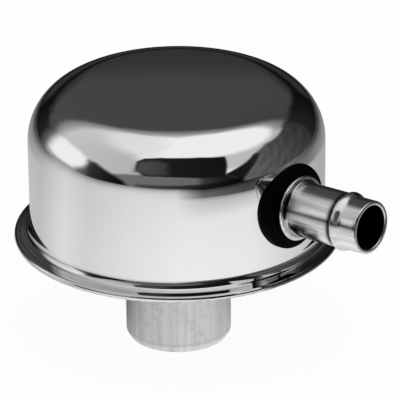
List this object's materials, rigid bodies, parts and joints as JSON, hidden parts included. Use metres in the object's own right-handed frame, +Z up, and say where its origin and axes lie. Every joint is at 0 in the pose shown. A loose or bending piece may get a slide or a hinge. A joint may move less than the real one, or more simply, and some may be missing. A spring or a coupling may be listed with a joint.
{
  "type": "breather vent cap",
  "caption": "Push-in breather vent cap: a round chromed shell with a hemmed rim on a plain metal neck, and a side hose nipple held in a black rubber grommet.",
  "frame": {"origin": "on the neck's axis, in the plane of the rim's underside", "axes": "+Z up along the neck's axis towards the crown, +X the way the hose nipple points"},
  "size_m": [0.098, 0.0784, 0.0652],
  "materials": {
    "chrome_plate": "mirror chrome plating",
    "bright_metal": "bright turned metal",
    "drawn_steel": "satin with lengthwise draw lines",
    "zinc_steel": "dull zinc plating",
    "wire_mesh": "knitted wire",
    "black_rubber": "matte"
  },
  "bodies": {
    "cap": {"cap_shell": "chrome_plate", "base_plate": "zinc_steel", "neck_tube": "drawn_steel", "baffle_cup": "zinc_steel", "filter_mesh": "wire_mesh", "end_plate": "zinc_steel", "plate_rivet": "zinc_steel", "side_grommet": "black_rubber"},
    "nipple": {"hose_nipple": "bright_metal"}
  },
  "joints": [
    {"name": "nipple_swivel", "type": "hinge", "parent": "cap", "child": "nipple", "pos_m": [0.03535, 0, 0.0172], "axis": [0.9987, 0, 0.0506], "continuous": true}
  ]
}
